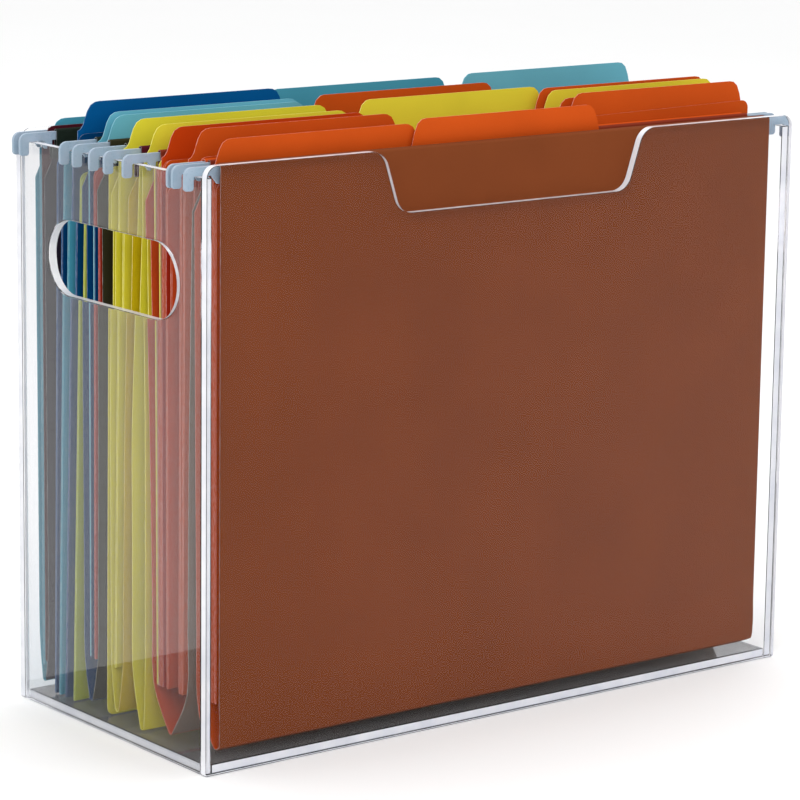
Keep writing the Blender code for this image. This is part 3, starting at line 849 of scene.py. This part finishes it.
def bevel(piece, width):
    """Rounds a piece's edges a little, in its first material."""
    rounding = piece.modifiers.new("rounded_edges", "BEVEL")
    rounding.width = width
    rounding.segments = EDGE_SEGMENTS
    rounding.limit_method = "ANGLE"
    rounding.angle_limit = EDGE_ANGLE
    rounding.material = 0


def rails():
    """Two hooked rails for each hanging sheet."""
    MADE["hook"] = hook_material()
    for name in SHEETS:
        rail(f"{name}_rear_rail")
        rail(f"{name}_front_rail")


def rounded(corners):
    """An outline from (u, v, radius) corners, with each radius drawn as an arc."""
    points = []
    for index, (u, v, radius) in enumerate(corners):
        if radius == 0:
            points.append((u, v))
            continue
        here = Vector((u, v))
        back = (Vector(corners[index - 1][:2]) - here).normalized()
        on = (Vector(corners[(index + 1) % len(corners)][:2]) - here).normalized()
        half_angle = back.angle(on) / 2
        centre = here + (back + on).normalized() * radius / math.sin(half_angle)
        start = here + back * radius / math.tan(half_angle) - centre
        sweep = start.angle_signed(here + on * radius / math.tan(half_angle) - centre)
        for step in range(CORNER_STEPS + 1):
            turned = start.copy()
            turned.rotate(Matrix.Rotation(-sweep * step / CORNER_STEPS, 2))
            points.append(tuple(centre + turned))
    return points


def panel(node, outline, hole, axis, acrylic):
    """One acrylic panel of the CAD panel's thickness, clear on its faces, with painted light on its
    edges.
    """
    low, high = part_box(node)
    shape = bmesh.new()
    loops = []
    for loop in (outline, hole):
        if loop:
            points = [shape.verts.new(PLANES[axis](u, v, low[axis])) for u, v in loop]
            loops += [shape.edges.new((points[i - 1], points[i])) for i in range(len(points))]
    bmesh.ops.triangle_fill(shape, use_beauty=True, use_dissolve=False, edges=loops)
    bmesh.ops.dissolve_limit(shape, angle_limit=0.01, verts=shape.verts[:], edges=shape.edges[:])
    made = bmesh.ops.extrude_face_region(shape, geom=shape.faces[:])
    reach = Vector([high[k] - low[k] if k == axis else 0.0 for k in range(3)])
    moved = [v for v in made["geom"] if isinstance(v, bmesh.types.BMVert)]
    bmesh.ops.translate(shape, vec=reach, verts=moved)
    bmesh.ops.recalc_face_normals(shape, faces=shape.faces)
    for face in shape.faces:
        face.material_index = 0 if abs(face.normal[axis]) > 0.5 else 1
    mesh = bpy.data.meshes.new(node)
    shape.to_mesh(mesh)
    shape.free()
    mesh.materials.append(acrylic)
    mesh.materials.append(MADE["acrylic_edge"])
    piece = add_piece(node + "_acrylic", mesh, node)
    bevel(piece, PANEL_EDGE)


# How a panel's flat outline turns into 3-D, by the axis that the panel is thin along
PLANES = {
    0: lambda u, v, depth: (depth, u, v),
    1: lambda u, v, depth: (u, depth, v),
    2: lambda u, v, depth: (u, v, depth),
}


def rectangle(low, high, first, second, radius):
    """A panel's outline from its box, with its two upper corners rounded."""
    return rounded([(high[first], low[second], 0), (high[first], high[second], radius),
                    (low[first], high[second], radius), (low[first], low[second], 0)])


def stadium(centre_u, centre_v, length, radius):
    """A slot's outline: two straight sides joined by half circles."""
    points = []
    reach = length / 2 - radius
    for side, first in ((1, -90), (-1, 90)):
        for step in range(SLOT_STEPS + 1):
            angle = math.radians(first + 180 * step / SLOT_STEPS)
            points.append((centre_u + side * reach + radius * math.cos(angle),
                           centre_v + radius * math.sin(angle)))
    return points


def acrylic_box():
    """The five clear panels, of the same shapes as their CAD solids; the bottom one is tinted dark as
    painted shade.
    """
    MADE["acrylic_edge"] = painted_light_edge_material()
    acrylic = acrylic_material("clear_acrylic", CLEAR_TINT, FACING_GLOSS)
    left_acrylic = acrylic_material("left_acrylic", LEFT_TINT, SIDE_GLOSS)
    # The bottom panel's dark tint is painted shade for the shadow beneath the box
    bottom_shade_acrylic = acrylic_material("bottom_shade_acrylic", BOTTOM_SHADE_TINT, SIDE_GLOSS)
    low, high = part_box("front_panel")
    right_side = [(DIP_FLOOR_HALF, high[2] - DIP_DEPTH, DIP_RADIUS),
                  (DIP_RIM_HALF, high[2], DIP_RADIUS), (high[0], high[2], TOP_CORNER),
                  (high[0], low[2], 0.0)]
    front = right_side + [(-x, z, radius) for x, z, radius in reversed(right_side)]
    panel("front_panel", rounded(front), None, 1, acrylic)
    panel("back_panel", rectangle(*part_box("back_panel"), 0, 2, TOP_CORNER), None, 1, acrylic)
    panel("bottom_panel", rectangle(*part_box("bottom_panel"), 0, 1, 0), None, 2, bottom_shade_acrylic)
    slot_hole = stadium(SLOT_CENTRE_Y, SLOT_CENTRE_Z, SLOT_LENGTH, SLOT_RADIUS)
    for node, material in (("left_panel", left_acrylic), ("right_panel", acrylic)):
        panel(node, rectangle(*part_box(node), 1, 2, 0), slot_hole, 0, material)


# ---------------------------------------------------------------- studio

def flat_sheet(name, across, along, material):
    """A flat stage piece on the ground, from across[0] to across[1] in X and likewise in Y."""
    mesh = bpy.data.meshes.new(name)
    corners = [(x, y, 0.0) for x, y in zip(across + across[::-1], (along[0],) * 2 + (along[1],) * 2)]
    mesh.from_pydata(corners, [], [[0, 1, 2, 3]])
    mesh.materials.append(material)
    sheet = bpy.data.objects.new(name, mesh)
    bpy.context.scene.collection.objects.link(sheet)
    return sheet


def floor():
    """A plain, almost white floor."""
    t = Tree("white_floor")
    t.link(t.mix(t.noise(3.0, 2.0), *FLOOR_GREYS), t.shader.inputs["Base Color"])
    t.shader.inputs["Roughness"].default_value = 0.6
    t.shader.inputs["Specular IOR Level"].default_value = 0.1
    reach = (-FLOOR_REACH, FLOOR_REACH)
    flat_sheet("studio_floor", reach, reach, t.material).location.z = -FLOOR_DROP


def area_light(name, place, target, size, power):
    """A soft white square light that the camera doesn't see."""
    lamp = bpy.data.lights.new(name, "AREA")
    lamp.shape = "RECTANGLE"
    lamp.size = size
    lamp.size_y = size
    lamp.energy = power
    thing = bpy.data.objects.new(name, lamp)
    bpy.context.scene.collection.objects.link(thing)
    thing.location = place
    thing.rotation_mode = "QUATERNION"
    thing.rotation_quaternion = (Vector(target) - Vector(place)).to_track_quat("-Z", "Y")
    thing.visible_camera = False


def board(name, across, along, brightness):
    """A studio board that only reflections see: dark to keep glare off, or bright to give it."""
    t = Tree(name)
    glow = t.add("ShaderNodeEmission")
    glow.inputs["Strength"].default_value = brightness
    t.link(glow.outputs["Emission"], t.output.inputs["Surface"])
    flat = flat_sheet(name, across, along, t.material)
    flat.visible_camera = False
    flat.visible_diffuse = False
    flat.visible_transmission = False
    flat.visible_shadow = False


def lights():
    """A white surround, two soft lights, and the boards that the side panel reflects."""
    world = bpy.data.worlds.new("white_studio")
    world.use_nodes = True
    background = world.node_tree.nodes["Background"]
    background.inputs["Color"].default_value = (1.0, 1.0, 1.0, 1.0)
    background.inputs["Strength"].default_value = WORLD_STRENGTH
    bpy.context.scene.world = world
    area_light("key", KEY_PLACE, KEY_TARGET, KEY_SIZE, KEY_POWER)
    board("dark_board", (-BOARD_REACH, BOARD_RIGHT), (BOARD_FRONT, BOARD_SPLIT), 0.0)
    board("bright_board", (-BOARD_REACH, BOARD_RIGHT), (BOARD_SPLIT, BOARD_REACH), BRIGHT_BOARD)
    area_light("top", TOP_PLACE, TOP_TARGET, TOP_SIZE, TOP_POWER)


def camera():
    """The camera, level with the horizon apart from its slight roll."""
    lens = bpy.data.cameras.new("camera")
    lens.lens = CAMERA_LENS
    lens.sensor_width = CAMERA_SENSOR
    thing = bpy.data.objects.new("camera", lens)
    bpy.context.scene.collection.objects.link(thing)
    turn, tilt, roll = CAMERA_TURN, CAMERA_TILT, CAMERA_ROLL
    ahead = Vector((math.sin(turn) * math.cos(tilt), math.cos(turn) * math.cos(tilt), -math.sin(tilt)))
    level = Vector((math.cos(turn), -math.sin(turn), 0.0))
    above = level.cross(ahead)
    right = level * math.cos(roll) + above * math.sin(roll)
    up = above * math.cos(roll) - level * math.sin(roll)
    facing = Matrix((right, up, -ahead)).transposed()
    thing.matrix_world = Matrix.Translation(CAMERA_PLACE) @ facing.to_4x4()
    lens.clip_start, lens.clip_end = 0.05, 50.0
    bpy.context.scene.camera = thing


def main():
    cards()
    rails()
    acrylic_box()
    floor()
    lights()
    camera()
    bpy.context.scene.view_settings.view_transform = "Standard"


main()
